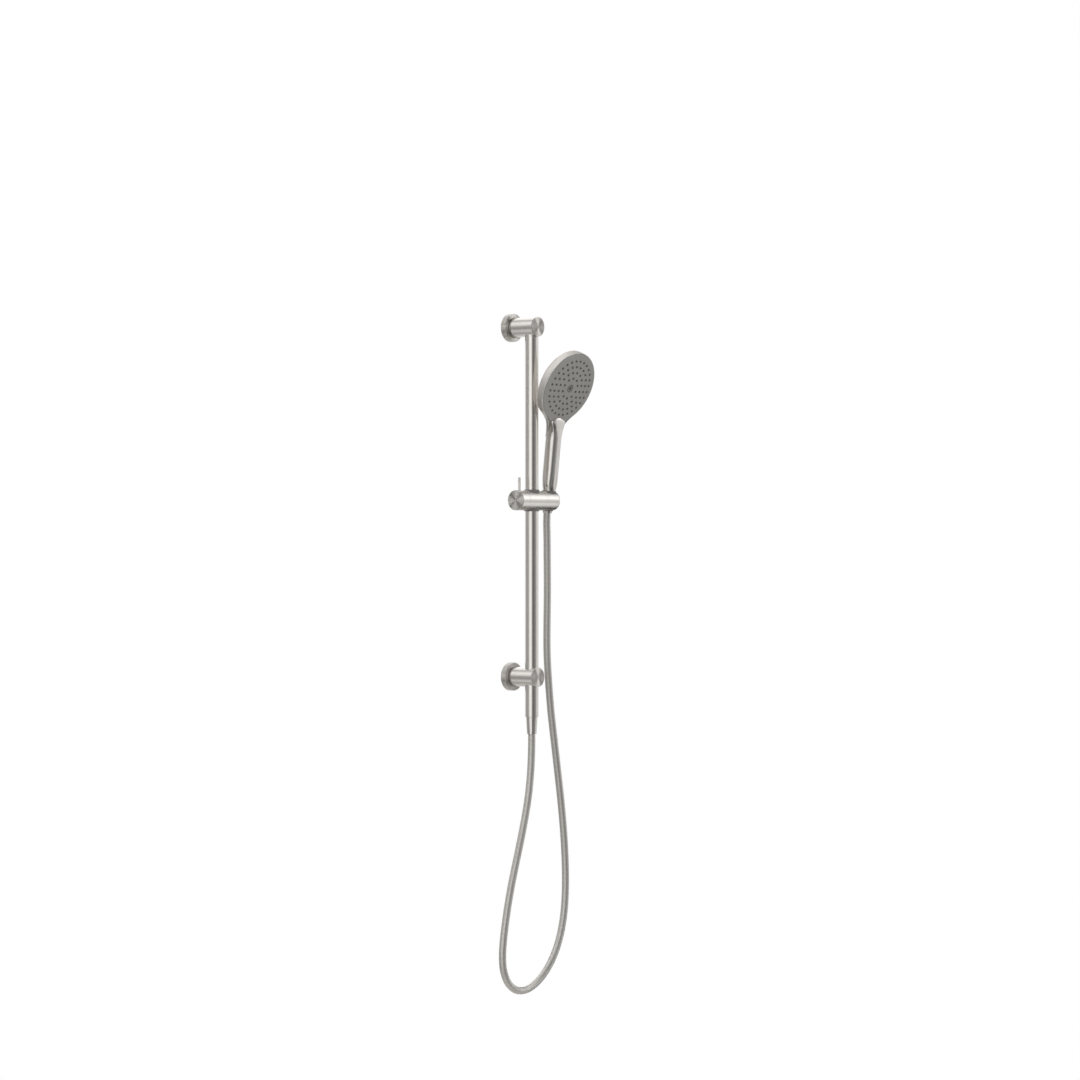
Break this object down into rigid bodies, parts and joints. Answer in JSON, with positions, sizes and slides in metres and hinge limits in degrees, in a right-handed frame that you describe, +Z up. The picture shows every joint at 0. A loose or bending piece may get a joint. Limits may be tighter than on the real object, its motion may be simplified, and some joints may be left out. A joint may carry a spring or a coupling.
{
  "type": "sliding shower rail with hand shower",
  "caption": "Wall-mounted round shower rail on two brackets, with a locking slider, a tilting cone holder, a round-headed hand shower and a long hose from the lower bracket.",
  "frame": {"origin": "middle of the upper bracket's wall plate, on the wall", "axes": "+Z up along the rail, +Y into the wall, -Y out into the room, +X to the right of a person facing the wall"},
  "size_m": [0.2104, 0.1322, 1.2811],
  "materials": {
    "brushed_nickel": "warm brushed nickel plating",
    "steel": "plain stainless steel",
    "brass": "machined brass",
    "plated_plastic": "moulded plastic plated in brushed nickel",
    "grey_plastic": "satin mid grey plastic",
    "grey_silicone": "dark grey silicone",
    "black_rubber": "black rubber",
    "white_plastic": "white plastic",
    "hose_skin": "smooth silver hose under a clear skin"
  },
  "bodies": {
    "wall_set": {"upper_wall_plate": "steel", "upper_rose": "brushed_nickel", "upper_arm": "brushed_nickel", "upper_end_cap": "brushed_nickel", "upper_arm_grub_screw": "steel", "lower_rose": "brushed_nickel", "lower_arm": "brushed_nickel", "lower_end_cap": "brushed_nickel", "inlet_seal": "black_rubber", "rail_tube": "brushed_nickel", "outlet_tube": "brushed_nickel", "check_valve": "white_plastic", "outlet_washer": "black_rubber", "lower_hose_flange": "brass", "lower_hose_nut": "brushed_nickel", "hose_left_leg": "hose_skin"},
    "carriage": {"upper_rail_sleeve": "grey_plastic", "lower_rail_sleeve": "grey_plastic", "hose_right_leg": "hose_skin"},
    "slider": {"brake_pad": "black_rubber", "slider_body": "brushed_nickel", "hose_swivel_stretch": "hose_skin"},
    "knob": {"lock_knob": "brushed_nickel", "clamp_spindle": "steel", "knob_cap": "brushed_nickel", "lever_pin": "brushed_nickel"},
    "holder": {"holder_body": "brushed_nickel", "holder_liner": "grey_plastic", "friction_ring": "black_rubber", "holder_bolt": "steel", "hose_tilt_stretch": "hose_skin"},
    "handset": {"handset_shell": "plated_plastic", "spray_face": "grey_plastic", "nozzle_mat": "grey_silicone", "centre_jet": "grey_silicone", "spray_chamber": "white_plastic", "handset_inlet": "brass", "handset_washer": "black_rubber", "upper_hose_flange": "brass", "upper_hose_nut": "brushed_nickel", "hose_top_stretch": "hose_skin"}
  },
  "joints": [
    {"name": "slider_slide", "type": "slide", "parent": "wall_set", "child": "carriage", "axis": [0, 0, 1], "range_m": [-0.29, 0.285], "deforming": ["hose_right_leg", "hose_left_leg"]},
    {"name": "slider_swivel", "type": "hinge", "parent": "carriage", "child": "slider", "pos_m": [0, -0.054, -0.327], "axis": [0, 0, 1], "range_deg": [-35, 25], "deforming": ["hose_swivel_stretch"]},
    {"name": "lock_knob_turn", "type": "hinge", "parent": "slider", "child": "knob", "pos_m": [-0.036, -0.054, -0.327], "axis": [1, 0, 0], "range_deg": [0, 90]},
    {"name": "holder_tilt", "type": "hinge", "parent": "slider", "child": "holder", "pos_m": [0.026, -0.054, -0.327], "axis": [1, 0, 0], "range_deg": [0, 30], "deforming": ["hose_tilt_stretch"]},
    {"name": "handset_lift", "type": "slide", "parent": "holder", "child": "handset", "axis": [0, -0.1132, 0.9936], "range_m": [0, 0.07], "deforming": ["hose_top_stretch"]}
  ]
}
